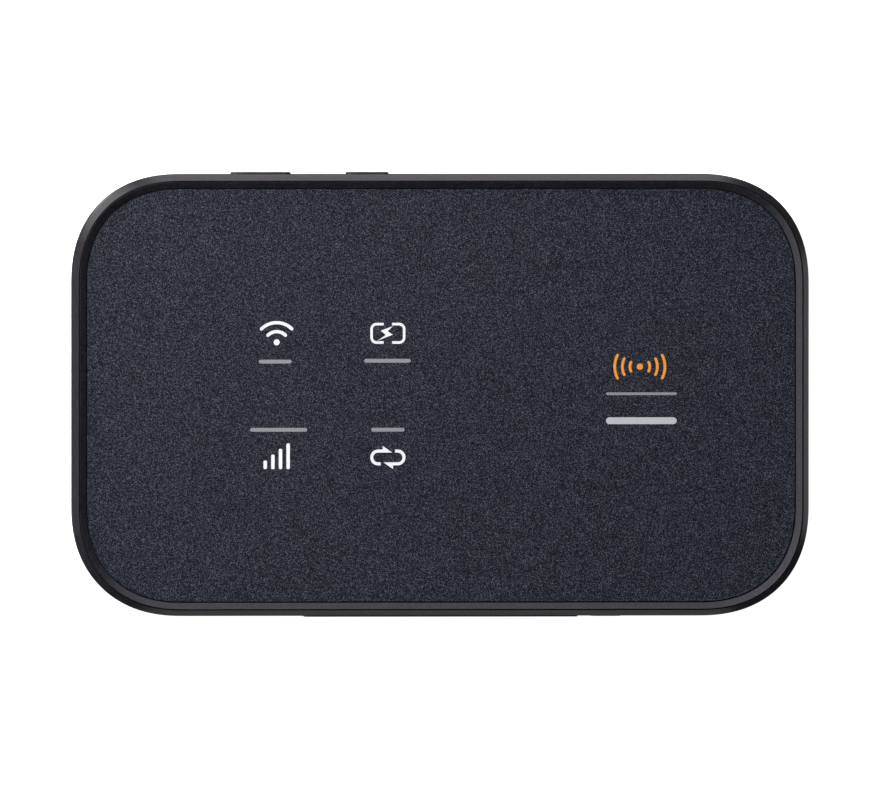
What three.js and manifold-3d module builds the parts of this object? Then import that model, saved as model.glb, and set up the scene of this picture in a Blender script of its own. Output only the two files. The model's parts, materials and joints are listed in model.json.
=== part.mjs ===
// Pocket 4G mobile hotspot lying on its back: millimetres, +Z out of the front panel, +X to the right
// and +Y to the key edge. The origin is the middle of the flat back face.
// A clip-on back cover holds the main unit: housing, panel, board, battery bay and keys.

import * as THREE from 'three';
import { mergeVertices } from 'three/addons/utils/BufferGeometryUtils.js';
import Module from 'manifold-3d';

const wasm = await Module();
wasm.setup();

// Driving dimensions ---------------------------------------------------------------------------

const LENGTH = 96.8;
const WIDTH = 58.0;
const THICKNESS = 12.8;
const HALF_X = LENGTH / 2;
const HALF_Y = WIDTH / 2;

// The outline's corners are superellipses: how far each one reaches along a side, and its exponent.
const CORNER_REACH = 14.4;
const CORNER_EXPONENT = 2.27;
const CORNER_STEPS = 10;

const PLAY = 0.15; // side play of a piece in its window
const SEAT = 0.05; // gap under a piece that is soldered, glued or seated

// Shell: insets are measured inwards from the outline, and Z upwards from the back face
const SEAM_Z = 4.8;
const SEAM_GAP = 0.1;
const WALL = 1.3;
const COVER_FLOOR = 1.0;
const BACK_EDGE_INSET = 2.4;
const TAB = { width: 5, foot: 2.2, top: 6.0, outerInset: 1.45, innerInset: 2.05 };
const TABS_ON_LONG_SIDE = [-30, -12, 13, 30];
const TABS_ON_SHORT_SIDE = [-7, 7];
const PRY_NOTCH = { width: 7, depth: 0.7, height: 1.1 };
const LIP_TOP = THICKNESS - 0.08;
const RIDGE_INSET = 0.81;
const LIP_LAND = 0.02; // width of the flat on top of the lip
const RIM = { slope: 20 * Math.PI / 180, radius: 3.5 }; // lean of the rim, and the bend below it
const DECK_BOTTOM = 10.5;
const DECK_TOP = 11.2;

// Bezel ring and front panel
const BEZEL_OUTER = 0.93;
const BEZEL_CREST = { rise: 0.03, width: 0.03 }; // the outer slope's width, and the crest's
const BEZEL_INNER = 1.78;
const BEZEL_LOW_Z = 12.1;
const PANEL_INSET = 1.9;
const PANEL_BOTTOM = 11.4;
const PANEL_TOP = 12.0;
const PANEL_EDGE = 0.06;
const TAPE = { outerInset: 2.6, innerInset: 5 };

// Mid frame, battery and board
const FRAME_INSET = 2.3;
const FRAME_FLOOR = { z0: 5.9, z1: 6.7 };
const BATTERY = { x: 8, y: 0, length: 66, width: 46, z0: 1.3, z1: 5.6, capLength: 3 };
const BAY_PLAY = 0.3;
const BAY_WALL = 0.8;
const BAY_WALL_Z = 2.0;
const BOARD = { inset: 3.0, z0: 7.0, z1: 7.8 };
const BOARD_TOP = BOARD.z1 + SEAT;
const LABEL = { length: 44, width: 30, thickness: 0.12 };

// Screws: where they are, and their sizes
const SCREW_PLACES = [[44.4, 10], [44.4, -10], [8, 25.4], [8, -25.4], [-38, 22.8], [-38, -22.8]];
const SCREW = { headRadius: 1.1, headHeight: 0.8, radius: 0.6, length: 4.0, slot: 1.4, slotWidth: 0.26 };
const BOSS = { radius: 1.5, holeRadius: 0.75, holeTop: 10.1 };
const SCREW_HOLE_RADIUS = 0.85;

// Keys on the +Y edge: middle in X, width, and how far each one stands out
const KEY_Z = 8.5;
const KEY_HEIGHT = 2.6;
const KEY_TRAVEL = 0.25;
const SWITCH = { width: 4.2, back: 24.0, front: 26.0, height: 1.6, plunger: 0.35 };
const KEY_BACK = SWITCH.front + SWITCH.plunger + KEY_TRAVEL + 0.1;
const KEY_FLANGE = { thickness: 0.7, margin: 0.6 };
const KEYS = {
  power: { x: -23.6, width: 7.9, proud: 0.29 },
  pairing: { x: -9.6, width: 5.6, proud: 0.29 },
  reset: { x: -1.2, width: 4.1, proud: 0.04 },
};

// Ports on the -Y edge
const PORT_Z = 8.525;
const TRIM = { width: 36, height: 3.8, proud: 0.11, depth: 0.7 };
const USB = { width: 7.5, height: 2.45, front: -28.15, back: -23.0, wall: 0.3 };
const TONGUE = { width: 3.7, height: 0.6, lift: 0.3, setBack: 0.8 };
const JACK = { x: 21.7, z: 8.9, width: 3.2, back: -23.4, front: -25.9, barrelEnd: -27.3, radius: 0.95 };
const PLUG = { width: 3.9, height: 2.6, proud: 0.04, depth: 0.65, stubRadius: 1.15, stubEnd: -27.5 };

// SIM card of the 25 by 15 mm size, in its holder under the mid frame
const SIM = { x: -35.5, y: 6, width: 15, length: 25, z0: 4.74, z1: 5.5, chamfer: 3 };
const SIM_HOLDER = { front: 2, side: 0.35, play: 0.15, lip: 0.3, window: 9, windowY: 10.5 };

// Battery contacts, spread in Y about the middle of the battery's end
const CONTACT_PLACES = [-2.5, 0, 2.5];
const CONNECTOR = { gap: 0.4, length: 2.4, width: 9, z0: 2.4 };

// Shield cans: middle and size of each one
const CAN = { sheet: 0.2, height: 1.6, corner: 0.6 };
const CANS = {
  baseband: { x: 16, y: 10.5, width: 24, height: 20 },
  radio: { x: 16, y: -11.5, width: 24, height: 19 },
  power: { x: -35.5, y: 0, width: 13, height: 24 },
};
const THERMAL_PAD = { width: 18, height: 14 };

// Antennas: strips round both ends, and a bracket on the key edge
const END_ANTENNA = { z0: 7.9, z1: 10.3, outerInset: 1.55, innerInset: 1.95, from: 36 };
const WIFI_ANTENNA = { x0: 16, x1: 28, y0: 24.4, y1: 26, sheet: 0.25, top: 10.3, slotFoot: 8.6 };

// Indicator icons: the middle of each one, and its light guide's block
const WAVE_STROKE = 0.37;
const LOOP_STROKE = 0.345;
const OUTLINE_STROKE = 0.29;
const ICON_PLAY = 0.04;
const GUIDE_BOTTOM = 8.8;
const BAFFLE = { x: -14.1, size: 25, lift: 0.75 };
const LED = { length: 1.6, width: 0.8, base: 0.3, lens: 1.1, height: 0.6 };
const ICONS = {
  wifi: { x: -21.6, y: 8.15, width: 5.0, height: 4.2 },
  battery: { x: -7.0, y: 8.15, width: 5.4, height: 3.6 },
  signal: { x: -21.6, y: -8.15, width: 4.4, height: 4.2 },
  data: { x: -7.0, y: -8.15, width: 5.4, height: 3.6 },
};

// Solids ---------------------------------------------------------------------------------------

function toSolid(geometry) {
  geometry.deleteAttribute('normal');
  geometry.deleteAttribute('uv');
  const merged = mergeVertices(geometry, 1e-4);
  return new wasm.Manifold(new wasm.Mesh({
    numProp: 3,
    vertProperties: new Float32Array(merged.attributes.position.array),
    triVerts: new Uint32Array(merged.index.array),
  }));
}

function toGeometry(solid) {
  const mesh = solid.getMesh();
  const geometry = new THREE.BufferGeometry();
  geometry.setAttribute('position', new THREE.BufferAttribute(mesh.vertProperties, 3));
  geometry.setIndex(new THREE.BufferAttribute(mesh.triVerts, 1));
  geometry.computeVertexNormals();
  return geometry;
}

function union(...solids) {
  return solids.reduce((whole, solid) => whole.add(solid));
}

function cut(solid, ...tools) {
  return tools.reduce((left, tool) => left.subtract(tool), solid);
}

// The body's outline, moved inwards by inset, counterclockwise.
function outline(inset) {
  const reach = CORNER_REACH - inset;
  const points = [];
  for (const [sx, sy] of [[1, 1], [-1, 1], [-1, -1], [1, -1]]) {
    for (let step = 0; step <= CORNER_STEPS; step += 1) {
      const turn = step / CORNER_STEPS;
      const angle = (sx * sy > 0 ? turn : 1 - turn) * Math.PI / 2;
      const x = HALF_X - CORNER_REACH + reach * Math.cos(angle) ** (2 / CORNER_EXPONENT);
      const y = HALF_Y - CORNER_REACH + reach * Math.sin(angle) ** (2 / CORNER_EXPONENT);
      points.push(new THREE.Vector2(sx * x, sy * y));
    }
  }
  return points;
}

// A solid through outlines stacked from the bottom up, each given as [inset, z].
function loft(levels) {
  const loops = levels.map(([inset]) => outline(inset));
  const count = loops[0].length;
  const positions = levels.flatMap(([, z], level) => loops[level].flatMap((p) => [p.x, p.y, z]));
  const index = [];
  for (let level = 0; level < levels.length - 1; level += 1) {
    for (let i = 0; i < count; i += 1) {
      const a = level * count + i;
      const b = level * count + (i + 1) % count;
      index.push(a, b, b + count, a, b + count, a + count);
    }
  }
  const top = (levels.length - 1) * count;
  for (let i = 1; i < count - 1; i += 1) {
    index.push(0, i + 1, i);
    index.push(top, top + i, top + i + 1);
  }
  const geometry = new THREE.BufferGeometry();
  geometry.setAttribute('position', new THREE.Float32BufferAttribute(positions, 3));
  geometry.setIndex(index);
  return toSolid(geometry);
}

// [inset, z] levels along a quarter of an ellipse, from upright at zFlat to the edge at zEdge.
function curvedLevels(zFlat, zEdge, edgeInset, semiHeight, steps) {
  const levels = [];
  for (let step = 0; step <= steps; step += 1) {
    const angle = Math.asin(Math.min(1, Math.abs(zEdge - zFlat) / semiHeight)) * step / steps;
    const z = zFlat + Math.sign(zEdge - zFlat) * semiHeight * Math.sin(angle);
    levels.push([edgeInset * (1 - Math.cos(angle)), z]);
  }
  return levels;
}

// [inset, z] levels of the rim: the upright wall bends inwards, then leans straight in to the lip.
function rimLevels(bendSteps) {
  const { slope, radius } = RIM;
  const bendInset = radius * (1 - Math.cos(slope));
  const bendTop = LIP_TOP - (RIDGE_INSET - LIP_LAND - bendInset) / Math.tan(slope);
  const levels = [];
  for (let step = 0; step <= bendSteps; step += 1) {
    const angle = slope * step / bendSteps;
    levels.push([radius * (1 - Math.cos(angle)), bendTop - radius * (Math.sin(slope) - Math.sin(angle))]);
  }
  return [...levels, [RIDGE_INSET - LIP_LAND, LIP_TOP]];
}

function roundedRectangle(width, height, radius) {
  const x = width / 2;
  const y = height / 2;
  const r = Math.min(radius, x, y);
  const shape = new THREE.Shape();
  shape.absarc(x - r, y - r, r, 0, Math.PI / 2);
  shape.absarc(-x + r, y - r, r, Math.PI / 2, Math.PI);
  shape.absarc(-x + r, -y + r, r, Math.PI, Math.PI * 1.5);
  shape.absarc(x - r, -y + r, r, Math.PI * 1.5, Math.PI * 2);
  shape.closePath();
  return shape;
}

function extrude(shape, z0, z1, curveSegments = 2) {
  const settings = { depth: z1 - z0, bevelEnabled: false, curveSegments };
  return toSolid(new THREE.ExtrudeGeometry(shape, settings).translate(0, 0, z0));
}

function plate(x, y, width, height, radius, z0, z1) {
  return extrude(roundedRectangle(width, height, radius), z0, z1).translate([x, y, 0]);
}

// A rounded plate standing in the XZ plane, from y0 to y1.
function uprightPlate(x, z, width, height, radius, y0, y1) {
  const shape = roundedRectangle(width, height, radius);
  return extrude(shape, -y1, -y0).rotate([90, 0, 0]).translate([x, 0, z]);
}

function box(x0, x1, y0, y1, z0, z1) {
  const geometry = new THREE.BoxGeometry(x1 - x0, y1 - y0, z1 - z0);
  return toSolid(geometry.translate((x0 + x1) / 2, (y0 + y1) / 2, (z0 + z1) / 2));
}

function cylinder(x, y, radius, z0, z1, sides = 12) {
  const geometry = new THREE.CylinderGeometry(radius, radius, z1 - z0, sides);
  return toSolid(geometry.rotateX(Math.PI / 2).translate(x, y, (z0 + z1) / 2));
}

function cylinderAlongY(x, z, radius, y0, y1, sides = 16) {
  const geometry = new THREE.CylinderGeometry(radius, radius, y1 - y0, sides);
  return toSolid(geometry.translate(x, (y0 + y1) / 2, z));
}

// Icons ----------------------------------------------------------------------------------------
// Each icon is a solid in its own frame. grow widens every stroke, which makes the panel's window.

function polygon(points, grow) {
  const vectors = points.map(([x, y]) => new THREE.Vector2(x, y));
  const normals = vectors.map((point, i) => {
    const along = vectors[(i + 1) % vectors.length].clone().sub(point).normalize();
    return new THREE.Vector2(along.y, -along.x);
  });
  const moved = vectors.map((point, i) => {
    const before = normals[(i + vectors.length - 1) % vectors.length];
    const mitre = before.clone().add(normals[i]);
    return point.clone().addScaledVector(mitre, grow / (1 + before.dot(normals[i])));
  });
  return new THREE.Shape(moved);
}

function arcStroke(radius, from, to, width) {
  const shape = new THREE.Shape();
  const endCap = (at, start) => {
    shape.absarc(radius * Math.cos(at), radius * Math.sin(at), width / 2, start, start + Math.PI);
  };
  shape.absarc(0, 0, radius + width / 2, from, to);
  endCap(to, to);
  shape.absarc(0, 0, radius - width / 2, to, from, true);
  endCap(from, from + Math.PI);
  shape.closePath();
  return shape;
}

function wifiIcon(z0, z1, grow) {
  const fanY = -1.41;
  const arcs = [2.82, 1.64].map((radius) => {
    const shape = arcStroke(radius, Math.PI * 0.25, Math.PI * 0.75, WAVE_STROKE + 2 * grow);
    return extrude(shape, z0, z1, 3).translate([0, fanY, 0]);
  });
  return union(...arcs, cylinder(0, fanY + 0.24, 0.37 + grow, z0, z1));
}

function batteryIcon(z0, z1, grow) {
  const [width, height, radius, gap] = [4.57, 2.7, 0.8, 1.14];
  const outer = plate(0, 0, width + 2 * grow, height + 2 * grow, radius + grow, z0, z1);
  const inset = OUTLINE_STROKE + grow;
  const inner = plate(0, 0, width - 2 * inset, height - 2 * inset, radius - inset, z0 - 1, z1 + 1);
  const halfGap = gap / 2 - grow;
  const split = box(-halfGap, halfGap, -height, height, z0 - 1, z1 + 1);
  const bolt = [[0.58, 0.88], [-0.89, 0.34], [-0.22, -0.22], [-1.22, -0.89], [0.59, -0.18], [-0.09, 0.26]];
  return union(cut(outer, inner, split), extrude(polygon(bolt, grow), z0, z1));
}

function signalIcon(z0, z1, grow) {
  const barWidth = 0.42;
  const barPitch = 1.0;
  const foot = -1.5;
  const bars = [1.1, 1.87, 2.62, 3.34].map((height, i) => {
    const x = (i - 1.5) * barPitch;
    return plate(x, foot + height / 2, barWidth + 2 * grow, height + 2 * grow, 0.2, z0, z1);
  });
  return union(...bars);
}

function dataIcon(z0, z1, grow) {
  const radius = 0.84;
  const loopX = -1.28;
  const half = LOOP_STROKE / 2 + grow;
  const arc = arcStroke(radius, Math.PI / 2, Math.PI * 1.5, 2 * half);
  const arrowFoot = radius - LOOP_STROKE / 2;
  const arrow = [[-0.74, arrowFoot], [0.5, arrowFoot], [-0.66, 1.46]];
  const one = union(
    extrude(arc, z0, z1, 3).translate([loopX, 0, 0]),
    box(loopX, -0.7, radius - half, radius + half, z0, z1),
    box(loopX, -0.96 + grow, -radius - half, -radius + half, z0, z1),
    extrude(polygon(arrow, grow), z0, z1),
  );
  return union(one, one.rotate([0, 0, 180]));
}

const ICON_SHAPES = { wifi: wifiIcon, battery: batteryIcon, signal: signalIcon, data: dataIcon };

function icon(name, z0, z1, grow) {
  return ICON_SHAPES[name](z0, z1, grow).translate([ICONS[name].x, ICONS[name].y, 0]);
}

function guideBlock(name, grow, z0, z1) {
  const { x, y, width, height } = ICONS[name];
  return plate(x, y, width + 2 * grow, height + 2 * grow, 0.6, z0, z1);
}

// Shell ----------------------------------------------------------------------------------------

function backCover() {
  const rim = SEAM_Z - SEAM_GAP / 2;
  const outside = curvedLevels(rim, 0, BACK_EDGE_INSET, rim, 6).reverse();
  const inside = [[3.0, COVER_FLOOR], [1.9, 1.9], [WALL, 3.0], [WALL, rim + 1]];
  const tabs = [1, -1].flatMap((side) => [
    ...TABS_ON_LONG_SIDE.map((x) => tab(x, side, HALF_Y, false)),
    ...TABS_ON_SHORT_SIDE.map((y) => tab(y, side, HALF_X, true)),
  ]);
  const { width, depth, height } = PRY_NOTCH;
  const pryNotch = box(HALF_X - depth, HALF_X + 1, -width / 2, width / 2, rim - height, rim + 1);
  return union(cut(loft(outside), loft(inside), pryNotch), ...tabs);
}

// A guide tab of the cover, which stands up inside the housing's wall.
function tab(along, side, half, onShortSide) {
  const { width, top, outerInset, innerInset } = TAB;
  const foot = box(-width / 2, width / 2, half - innerInset, half - 1, TAB.foot, SEAM_Z - 0.2);
  const tongue = box(-width / 2, width / 2, half - innerInset, half - outerInset, SEAM_Z - 0.3, top);
  const upright = union(foot, tongue).translate([side * along, 0, 0]);
  const quarter = onShortSide ? -90 : 0;
  return upright.rotate([0, 0, quarter + (side > 0 ? 0 : 180)]);
}

function frontHousing() {
  const outside = loft([[0, SEAM_Z + SEAM_GAP / 2], ...rimLevels(3)]);
  const cavity = loft([[WALL, SEAM_Z - 1], [WALL, DECK_BOTTOM]]);
  const seat = loft([[RIDGE_INSET, DECK_TOP], [RIDGE_INSET, THICKNESS + 1]]);
  const bossFoot = FRAME_FLOOR.z1 + SEAT;
  const bosses = SCREW_PLACES.map(([x, y]) => cylinder(x, y, BOSS.radius, bossFoot, DECK_BOTTOM + 0.2));
  const holes = SCREW_PLACES.map(([x, y]) => cylinder(x, y, BOSS.holeRadius, SEAM_Z, BOSS.holeTop));
  const guides = Object.keys(ICONS).map((name) => guideBlock(name, PLAY, DECK_BOTTOM - 1, DECK_TOP + 1));
  const keyWindows = Object.values(KEYS).map(({ x, width }) => (
    uprightPlate(x, KEY_Z, width + 2 * PLAY, KEY_HEIGHT + 2 * PLAY, 0.9, HALF_Y - 2, HALF_Y + 1)
  ));
  const shell = union(cut(outside, cavity, seat), ...bosses);
  return cut(shell, ...holes, ...guides, ...keyWindows, ...portOpenings());
}

function portOpenings() {
  const outside = -HALF_Y - 1;
  const inside = -HALF_Y + 2;
  const trimSeat = -HALF_Y + TRIM.depth + SEAT;
  const plugSeat = -HALF_Y + PLUG.depth + SEAT;
  return [
    uprightPlate(0, PORT_Z, TRIM.width + 0.2, TRIM.height + 0.2, 0.8, outside, trimSeat),
    uprightPlate(0, PORT_Z, USB.width + 0.5, USB.height + 0.5, 0.6, outside, inside),
    uprightPlate(JACK.x, JACK.z, PLUG.width + 0.2, PLUG.height + 0.2, 0.9, outside, plugSeat),
    cylinderAlongY(JACK.x, JACK.z, PLUG.stubRadius + PLAY, outside, inside),
  ];
}

function bezelRing() {
  const outside = [
    [BEZEL_OUTER, DECK_TOP + SEAT],
    [BEZEL_OUTER, LIP_TOP],
    [BEZEL_OUTER + BEZEL_CREST.rise, THICKNESS],
  ];
  const inside = [
    [BEZEL_INNER, DECK_TOP - 1],
    [BEZEL_INNER, BEZEL_LOW_Z],
    [BEZEL_OUTER + BEZEL_CREST.rise + BEZEL_CREST.width, THICKNESS],
    [BEZEL_OUTER, THICKNESS + 0.1],
  ];
  return cut(loft(outside), loft(inside));
}

function frontPanel() {
  const slab = loft([
    [PANEL_INSET, PANEL_BOTTOM],
    [PANEL_INSET, PANEL_TOP - PANEL_EDGE],
    [PANEL_INSET + PANEL_EDGE, PANEL_TOP],
  ]);
  const names = Object.keys(ICONS);
  return cut(slab, ...names.map((name) => icon(name, PANEL_BOTTOM - 1, PANEL_TOP + 1, ICON_PLAY)));
}

function panelTape() {
  const [z0, z1] = [DECK_TOP + SEAT, PANEL_BOTTOM - SEAT];
  const outside = loft([[TAPE.outerInset, z0], [TAPE.outerInset, z1]]);
  return cut(outside, loft([[TAPE.innerInset, z0 - 1], [TAPE.innerInset, z1 + 1]]));
}

// Indicators -----------------------------------------------------------------------------------

function lightGuide(name) {
  const top = DECK_TOP + SEAT;
  return union(guideBlock(name, 0, GUIDE_BOTTOM, top), icon(name, top - 0.1, PANEL_TOP - 0.01, 0));
}

function lightBaffle() {
  const { x, size, lift } = BAFFLE;
  const windows = Object.keys(ICONS).map((name) => guideBlock(name, PLAY, BOARD_TOP, DECK_TOP));
  return cut(plate(x, 0, size, size, 1, BOARD_TOP + lift, DECK_BOTTOM - SEAT), ...windows);
}

function led(name) {
  const { x, y } = ICONS[name];
  const [l, w, lens] = [LED.length / 2, LED.width / 2, LED.lens / 2];
  const top = BOARD_TOP + LED.height;
  const base = box(x - l, x + l, y - w, y + w, BOARD_TOP, BOARD_TOP + LED.base);
  return union(base, box(x - lens, x + lens, y - w, y + w, BOARD_TOP + LED.base / 2, top));
}

// Board and what is on it ------------------------------------------------------------------------

function mainBoard() {
  const [under, over] = [BOARD.z0 - 1, BOARD.z1 + 1];
  const notches = SCREW_PLACES.map(([x, y]) => cylinder(x, y, BOSS.radius + 0.3, under, over));
  const half = USB.width / 2 + 0.3;
  const usbNotch = box(-half, half, -HALF_Y, USB.back + 0.3, under, over);
  return cut(loft([[BOARD.inset, BOARD.z0], [BOARD.inset, BOARD.z1]]), ...notches, usbNotch);
}

// A shield can: a stamped box, open towards the board.
function shieldCan({ x, y, width, height }) {
  const { sheet, corner } = CAN;
  const top = BOARD_TOP + CAN.height;
  const insideSize = [width - 2 * sheet, height - 2 * sheet];
  const inside = plate(x, y, ...insideSize, corner - sheet, BOARD_TOP - 1, top - sheet);
  return cut(plate(x, y, width, height, corner, BOARD_TOP, top), inside);
}

// A soft pad that carries heat from the baseband shield to the housing's deck.
function thermalPad() {
  const { x, y } = CANS.baseband;
  const top = DECK_BOTTOM - SEAT;
  return plate(x, y, THERMAL_PAD.width, THERMAL_PAD.height, 0.5, BOARD_TOP + CAN.height + SEAT, top);
}

function pushSwitch({ x }) {
  const { width, back, front, height, plunger } = SWITCH;
  const body = box(x - width / 2, x + width / 2, back, front, BOARD_TOP, BOARD_TOP + height);
  const half = width * 0.22;
  const tip = box(x - half, x + half, front - 0.2, front + plunger, BOARD_TOP + 0.35, BOARD_TOP + 1.15);
  return union(body, tip);
}

function usbShell() {
  const { width, height, front, back, wall } = USB;
  const insideSize = [width - 2 * wall, height - 2 * wall];
  const inside = uprightPlate(0, PORT_Z, ...insideSize, 0.5, front - 1, back - wall);
  return cut(uprightPlate(0, PORT_Z, width, height, 0.7, front, back), inside);
}

function usbTongue() {
  const { width, height, lift, setBack } = TONGUE;
  const back = USB.back - USB.wall - SEAT;
  return uprightPlate(0, PORT_Z + lift, width, height, 0.15, USB.front + setBack, back);
}

function antennaJack() {
  const { x, z, width, back, front, barrelEnd, radius } = JACK;
  const base = box(x - width / 2, x + width / 2, front, back, BOARD_TOP, 2 * z - BOARD_TOP);
  const barrel = cylinderAlongY(x, z, radius, barrelEnd, front + 0.1);
  return cut(union(base, barrel), cylinderAlongY(x, z, radius / 2, barrelEnd - 1, front + 0.5));
}

// A strip of sheet metal round one end of the body, on the side given as +1 or -1.
function endAntenna(side) {
  const { z0, z1, outerInset, innerInset, from } = END_ANTENNA;
  const outside = loft([[outerInset, z0], [outerInset, z1]]);
  const ring = cut(outside, loft([[innerInset, z0 - 1], [innerInset, z1 + 1]]));
  const reach = box(from, HALF_X + 1, -HALF_Y, HALF_Y, z0 - 1, z1 + 1);
  return ring.intersect(reach.rotate([0, 0, side > 0 ? 0 : 180]));
}

function wifiAntenna() {
  const { x0, x1, y0, y1, sheet, top, slotFoot } = WIFI_ANTENNA;
  const foot = box(x0, x1, y0, y1, BOARD_TOP, BOARD_TOP + sheet);
  const blade = box(x0, x1, y1 - sheet, y1, BOARD_TOP, top);
  const slots = [0.25, 0.5, 0.75].map((part) => {
    const x = x0 + (x1 - x0) * part;
    return box(x - 0.6, x + 0.6, y0 + 0.6, y1 + 1, slotFoot, top + 1);
  });
  return cut(union(foot, blade), ...slots);
}

// Keys, trim and plug ----------------------------------------------------------------------------

function sideKey({ x, width, proud }) {
  const { thickness, margin } = KEY_FLANGE;
  const front = KEY_BACK + thickness;
  const cap = uprightPlate(x, KEY_Z, width, KEY_HEIGHT, 0.75, front - 0.2, HALF_Y + proud);
  const flange = uprightPlate(x, KEY_Z, width + 2 * margin, KEY_HEIGHT + margin, 0.9, KEY_BACK, front);
  return union(cap, flange);
}

function portTrim() {
  const [outside, inside] = [-HALF_Y - TRIM.proud, -HALF_Y + TRIM.depth];
  const strip = uprightPlate(0, PORT_Z, TRIM.width, TRIM.height, 0.7, outside, inside);
  const openingSize = [USB.width + 0.4, USB.height + 0.4];
  return cut(strip, uprightPlate(0, PORT_Z, ...openingSize, 0.6, outside - 1, inside + 1));
}

function antennaPlug() {
  const { x, z } = JACK;
  const { width, height, proud, depth, stubRadius, stubEnd } = PLUG;
  const cap = uprightPlate(x, z, width, height, 0.8, -HALF_Y - proud, -HALF_Y + depth);
  return union(cap, cylinderAlongY(x, z, stubRadius, -HALF_Y + depth / 2, stubEnd));
}

// Mid frame, battery and SIM -----------------------------------------------------------------------

function midFrame() {
  const { z0, z1 } = FRAME_FLOOR;
  const { x, y, length, width } = BATTERY;
  const bay = [length + 2 * BAY_PLAY, width + 2 * BAY_PLAY];
  const outer = bay.map((size) => size + 2 * BAY_WALL);
  const walls = cut(
    plate(x, y, ...outer, 1.4, BAY_WALL_Z, z0 + 0.1),
    plate(x, y, ...bay, 0.6, BAY_WALL_Z - 1, z0),
  );
  const left = x - outer[0] / 2;
  const right = x + outer[0] / 2;
  const fingerNotch = box(left - 1, left + 2, -8, 8, BAY_WALL_Z - 1, z0);
  const connectorHalf = CONNECTOR.width / 2 + BAY_PLAY;
  const connectorNotch = box(right - 2, right + 1, -connectorHalf, connectorHalf, BAY_WALL_Z - 1, z0);
  const holes = SCREW_PLACES.map((place) => cylinder(...place, SCREW_HOLE_RADIUS, z0 - 1, z1 + 1));
  const floor = loft([[FRAME_INSET, z0], [FRAME_INSET, z1]]);
  return cut(union(floor, walls), fingerNotch, connectorNotch, ...holes);
}

function bayLabel() {
  const top = FRAME_FLOOR.z0 - SEAT;
  return plate(BATTERY.x, BATTERY.y, LABEL.length, LABEL.width, 1.5, top - LABEL.thickness, top);
}

function screw([x, y]) {
  const under = FRAME_FLOOR.z0 - SEAT;
  const foot = under - SCREW.headHeight;
  const head = cylinder(x, y, SCREW.headRadius, foot, under, 16);
  const shank = cylinder(x, y, SCREW.radius, under - 0.1, under + SCREW.length, 8);
  const [l, w] = [SCREW.slot / 2, SCREW.slotWidth / 2];
  const slots = [0, 90].map((turn) => (
    box(-l, l, -w, w, -1, 0.35).rotate([0, 0, turn]).translate([x, y, foot])
  ));
  return cut(union(head, shank), ...slots);
}

function batteryCell() {
  const { x, y, length, width, z0, z1, capLength } = BATTERY;
  const cellLength = length - capLength - SEAT;
  return plate(x - length / 2 + cellLength / 2, y, cellLength, width, 1.6, z0, z1);
}

function batteryEndCap() {
  const { x, y, length, width, z0, z1, capLength } = BATTERY;
  const end = x + length / 2;
  const cap = plate(end - capLength / 2, y, capLength, width, 0.8, z0, z1);
  const padHalf = 0.8;
  const pads = CONTACT_PLACES.map((padY) => (
    box(end - 0.2, end + 1, y + padY - padHalf, y + padY + padHalf, z0 + 1.5, z1 - 0.8)
  ));
  return cut(cap, ...pads);
}

function batteryConnector() {
  const { gap, length, width, z0 } = CONNECTOR;
  const x0 = BATTERY.x + BATTERY.length / 2 + gap;
  const block = box(x0, x0 + length, -width / 2, width / 2, z0, FRAME_FLOOR.z0 - SEAT);
  const slots = CONTACT_PLACES.map((y) => box(x0 - 1, x0 + 1, y - 0.6, y + 0.6, z0 - 0.4, z0 + 2.6));
  return cut(block, ...slots);
}

// A bowed contact strip standing in one slot of the connector.
function contactSpring(y) {
  const x0 = BATTERY.x + BATTERY.length / 2 + 0.1;
  const height = 2.3;
  const bow = new THREE.Shape();
  bow.moveTo(0.9, 0);
  bow.quadraticCurveTo(-0.5, height / 2, 0.9, height);
  bow.lineTo(1.1, height);
  bow.quadraticCurveTo(-0.2, height / 2, 1.1, 0);
  bow.closePath();
  return extrude(bow, -0.4, 0.4, 6).rotate([90, 0, 0]).translate([x0, y, CONNECTOR.z0 + 0.2]);
}

function simHolder() {
  const { x, y, width, length, z0, z1 } = SIM;
  const { front, side, play, lip, window, windowY } = SIM_HOLDER;
  const half = width / 2 + play;
  const end = y + length / 2 + 0.8;
  const shell = box(x - half - side, x + half + side, front, end, z0 - lip, FRAME_FLOOR.z0 - SEAT);
  const channel = box(x - half, x + half, front - 1, end - side, z0 - 0.12, z1 + 0.1);
  return cut(shell, channel, plate(x, windowY, window, window, 1, z0 - 1, z0));
}

function simCard() {
  const { x, y, width, length, z0, z1, chamfer } = SIM;
  const [w, l] = [width / 2, length / 2];
  const corners = [[-w, -l], [w, -l], [w, l - chamfer], [w - chamfer, l], [-w, l]];
  const shape = new THREE.Shape(corners.map(([cx, cy]) => new THREE.Vector2(cx, cy)));
  return extrude(shape, z0, z1).translate([x, y, 0]);
}

// Assembly ---------------------------------------------------------------------------------------

const hotspot = new THREE.Group();

function material(color, roughness, metalness = 0) {
  return new THREE.MeshStandardMaterial({ color, roughness, metalness });
}

function addPart(name, solid, finish) {
  const mesh = new THREE.Mesh(toGeometry(solid), finish);
  mesh.name = name;
  hotspot.add(mesh);
}

const rim = () => material(0x46464b, 0.38, 0.3);
const blackPlastic = () => material(0x1b1c20, 0.6);
const steel = () => material(0xb9bbbe, 0.35, 0.9);
const copper = () => material(0xc08a4a, 0.35, 0.9);

addPart('back_cover', backCover(), material(0x2b2d33, 0.55));
addPart('front_housing', frontHousing(), rim());
addPart('bezel_ring', bezelRing(), rim());
addPart('front_panel', frontPanel(), material(0x2e323b, 0.5));
addPart('panel_tape', panelTape(), blackPlastic());
addPart('port_trim', portTrim(), rim());
for (const name of Object.keys(KEYS)) {
  addPart(`${name}_key`, sideKey(KEYS[name]), rim());
}
addPart('antenna_plug', antennaPlug(), material(0x202124, 0.9));

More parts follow.
